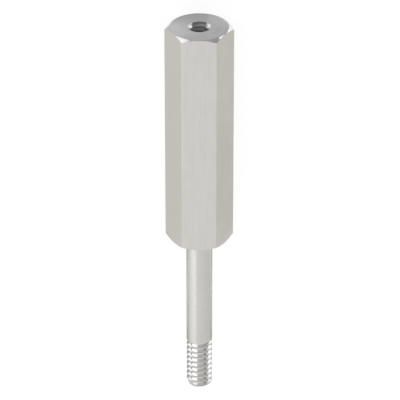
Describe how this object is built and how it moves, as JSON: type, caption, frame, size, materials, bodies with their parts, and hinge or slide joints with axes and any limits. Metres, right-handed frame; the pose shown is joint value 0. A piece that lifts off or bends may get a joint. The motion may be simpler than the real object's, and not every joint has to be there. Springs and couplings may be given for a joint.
{
  "type": "hex standoff",
  "caption": "Hexagonal spacer pillar with a countersunk tapped hole in its end face and, opposite, a plain round stud that is threaded at the tip.",
  "frame": {"origin": "on the part's axis at the shoulder, where the stud leaves the pillar", "axes": "+Y along the axis towards the tapped end, the stud towards -Y, and +Z square to the uppermost flat; the part lies on the flat that faces -Z"},
  "size_m": [0.0074, 0.0445, 0.0064],
  "materials": {
    "stainless": "satin, drawn flats with fine lengthwise grain, turned end faces and a bright rolled thread"
  },
  "bodies": {
    "root": {"standoff": "stainless"}
  },
  "joints": []
}
